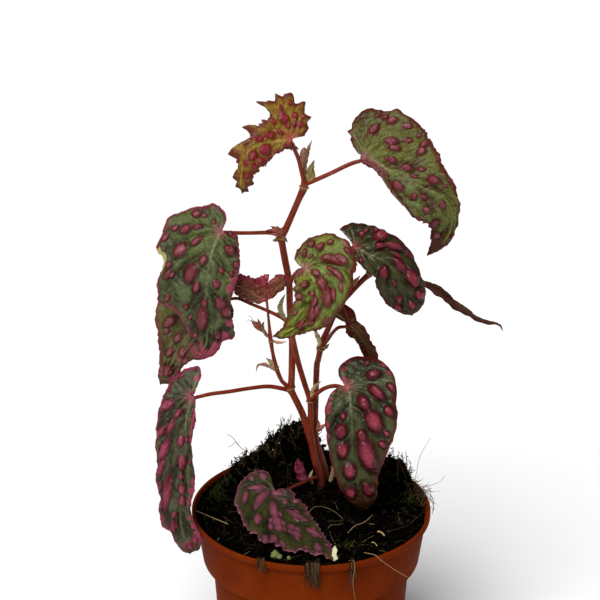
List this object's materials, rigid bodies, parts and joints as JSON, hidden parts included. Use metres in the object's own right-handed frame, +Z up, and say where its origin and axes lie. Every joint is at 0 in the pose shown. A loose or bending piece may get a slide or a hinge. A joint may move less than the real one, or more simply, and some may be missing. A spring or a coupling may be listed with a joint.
{
  "type": "potted begonia",
  "caption": "Potted begonia with red canes, toothed quilted leaves in dark green, olive and lime, and dark peat in a terracotta-coloured nursery pot.",
  "frame": {"origin": "centre of the underside of the pot", "axes": "+Z up; -Y is the side that the leaves turn their faces to, as pictured; +X to the right seen from there"},
  "size_m": [0.1494, 0.105, 0.2736],
  "materials": {
    "pot": "matte",
    "soil": "rough",
    "cane": "satin",
    "leaf_dark": "satin",
    "leaf_olive": "satin",
    "leaf_lime": "satin",
    "leaf_amber": "satin",
    "leaf_wine": "satin"
  },
  "bodies": {
    "root": {"pot": "pot", "soil": "soil", "stems_main": "cane", "stem_right": "cane", "leaf_top": "leaf_amber", "leaf_upper_right": "leaf_olive", "leaf_left_big": "leaf_dark", "leaf_left_mid": "leaf_olive", "leaf_left_low": "leaf_dark", "leaf_center": "leaf_lime", "leaf_right_dark": "leaf_dark", "leaf_right_tail": "leaf_wine", "leaf_fold_mid": "leaf_wine", "leaf_low_right": "leaf_dark", "leaf_soil": "leaf_dark", "leaf_young": "leaf_wine", "leaf_tiny": "leaf_wine"}
  },
  "joints": []
}
